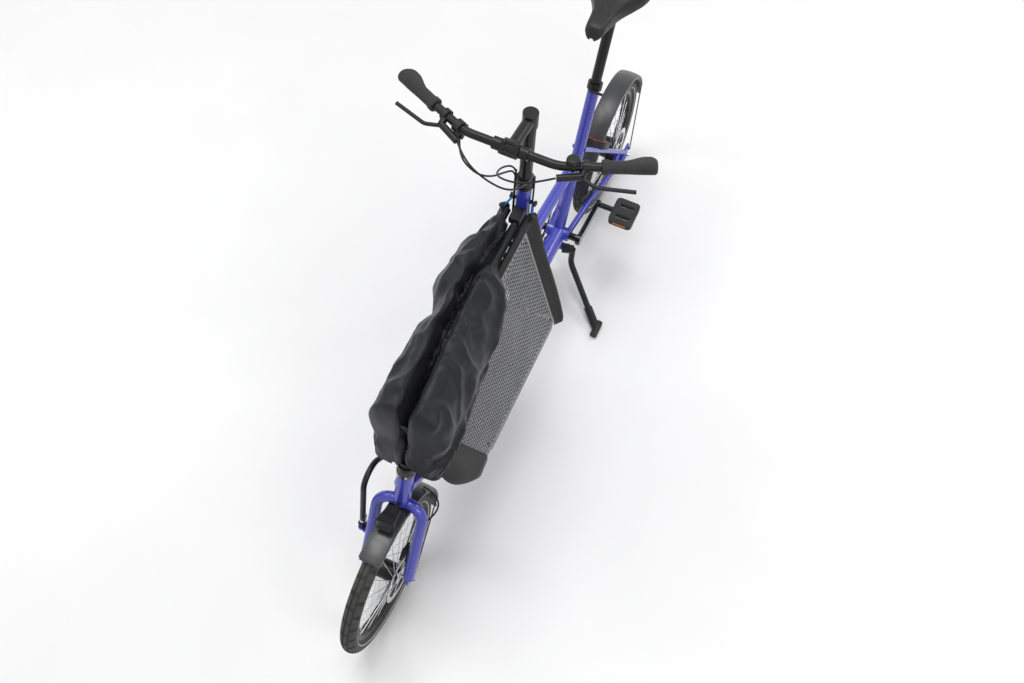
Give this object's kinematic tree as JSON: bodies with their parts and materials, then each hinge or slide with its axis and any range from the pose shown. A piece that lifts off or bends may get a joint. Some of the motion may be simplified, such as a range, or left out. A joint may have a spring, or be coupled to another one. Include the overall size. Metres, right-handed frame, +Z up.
{
  "type": "front-loading cargo bicycle",
  "caption": "Compact front-loading cargo bicycle with a low load bay between small wheels, folding perforated basket walls under a slack nylon cover, link steering and a two-leg stand.",
  "frame": {"origin": "on the floor under the middle of the overall box", "axes": "+X forward in the riding direction, +Y to the rider's left, +Z up"},
  "size_m": [2.1052, 0.6672, 1.221],
  "materials": {
    "frame_paint": "royal blue gloss paint",
    "black_metal": "satin black",
    "crank_black": "gloss black",
    "black_plastic": "matt black",
    "fender_plastic": "matt anthracite",
    "saddle_skin": "smooth black cover",
    "grip_rubber": "ribbed black rubber",
    "tyre": "black rubber",
    "rim_metal": "black anodised",
    "steel": "bright steel",
    "panel_metal": "grey anodised perforated sheet",
    "nylon": "coated black nylon",
    "tarpaulin": "dark grey coated tarpaulin",
    "hose": "black sleeve",
    "lens": "clear lens",
    "reflector": "amber reflector"
  },
  "bodies": {
    "frame": {"frame": "frame_paint", "seat_collar": "black_metal", "seatpost": "black_metal", "saddle_rails": "black_metal", "saddle": "saddle_skin", "headsets": "black_metal", "ring_lock": "black_plastic", "rim_latch": "black_plastic", "basket_floor": "panel_metal", "stand_bosses": "black_metal", "fender_rear": "fender_plastic", "caliper_rear": "black_metal", "axle_rear": "steel", "chain": "steel", "hoses_frame": "hose"},
    "bars": {"column": "black_metal", "handlebar": "black_metal", "grips": "grip_rubber", "brake_levers": "black_metal", "bell": "black_metal", "shifter": "black_plastic", "hoses_bars": "hose"},
    "fork": {"fork": "frame_paint", "fender_front": "fender_plastic", "caliper_front": "black_metal", "axle_front": "steel", "steerer_cap": "black_metal", "headlight": "black_plastic", "headlight_lens": "lens", "hose_front": "hose"},
    "link": {"drag_link": "black_metal"},
    "front_wheel": {"tyre_front": "tyre", "rim_front": "rim_metal", "spokes_front": "steel", "hub_front": "black_metal", "disc_front": "steel"},
    "rear_wheel": {"tyre_rear": "tyre", "rim_rear": "rim_metal", "spokes_rear": "steel", "hub_rear": "black_metal", "disc_rear": "steel"},
    "crank": {"crankset": "crank_black"},
    "pedal_left": {"pedal_left": "black_plastic", "pedal_reflectors_left": "reflector"},
    "pedal_right": {"pedal_right": "black_plastic", "pedal_reflectors_right": "reflector"},
    "stand_left": {"stand_leg_left": "black_metal"},
    "stand_right": {"stand_leg_right": "black_metal"},
    "side_left": {"panel_left": "panel_metal", "basket_rim_left": "black_metal", "cover_left": "nylon", "gussets_left": "tarpaulin"},
    "side_right": {"panel_right": "panel_metal", "basket_rim_right": "black_metal", "cover_right": "nylon", "gussets_right": "tarpaulin"}
  },
  "joints": [
    {"name": "steer_bars", "type": "hinge", "parent": "frame", "child": "bars", "pos_m": [-0.08425, 0, 1], "axis": [-0.0698, 0, 0.9976], "range_deg": [-40, 40]},
    {"name": "steer_fork", "type": "hinge", "parent": "frame", "child": "fork", "pos_m": [0.67527, 0, 0.50382], "axis": [-0.342, 0, 0.9397], "range_deg": [-40, 40]},
    {"name": "link_rear_pin", "type": "hinge", "parent": "bars", "child": "link", "pos_m": [-0.03964, -0.103, 0.362], "axis": [-0.0697, 0.036, 0.9969], "range_deg": [-40, 40]},
    {"name": "front_wheel_spin", "type": "hinge", "parent": "fork", "child": "front_wheel", "pos_m": [0.80675, 0, 0.242], "axis": [0, 1, 0], "continuous": true},
    {"name": "rear_wheel_spin", "type": "hinge", "parent": "frame", "child": "rear_wheel", "pos_m": [-0.79525, 0, 0.242], "axis": [0, 1, 0], "continuous": true},
    {"name": "crank_spin", "type": "hinge", "parent": "frame", "child": "crank", "pos_m": [-0.38725, 0, 0.285], "axis": [0, 1, 0], "continuous": true},
    {"name": "pedal_left_spin", "type": "hinge", "parent": "crank", "child": "pedal_left", "pos_m": [-0.55361, 0.162, 0.26162], "axis": [0, 1, 0], "continuous": true},
    {"name": "pedal_right_spin", "type": "hinge", "parent": "crank", "child": "pedal_right", "pos_m": [-0.22088, -0.162, 0.30838], "axis": [0, 1, 0], "continuous": true},
    {"name": "stand_left_fold", "type": "hinge", "parent": "frame", "child": "stand_left", "pos_m": [-0.41025, 0.036, 0.174], "axis": [-0.3047, 0.9519, -0.0332], "range_deg": [0, 120]},
    {"name": "stand_right_fold", "type": "hinge", "parent": "frame", "child": "stand_right", "pos_m": [-0.41025, -0.036, 0.174], "axis": [0.3047, 0.9519, 0.0332], "range_deg": [0, 120]},
    {"name": "side_left_open", "type": "hinge", "parent": "frame", "child": "side_left", "pos_m": [0.21825, 0.138, 0.418], "axis": [-1, 0, 0], "range_deg": [0, 37.7]},
    {"name": "side_right_open", "type": "hinge", "parent": "frame", "child": "side_right", "pos_m": [0.21825, -0.138, 0.418], "axis": [1, 0, 0], "range_deg": [0, 37.7]}
  ],
  "couplings": [
    {"joint": "steer_fork", "follows": "steer_bars", "ratio": 1},
    {"joint": "link_rear_pin", "follows": "steer_bars", "ratio": -1},
    {"joint": "stand_right_fold", "follows": "stand_left_fold", "ratio": 1},
    {"joint": "side_right_open", "follows": "side_left_open", "ratio": 1}
  ]
}
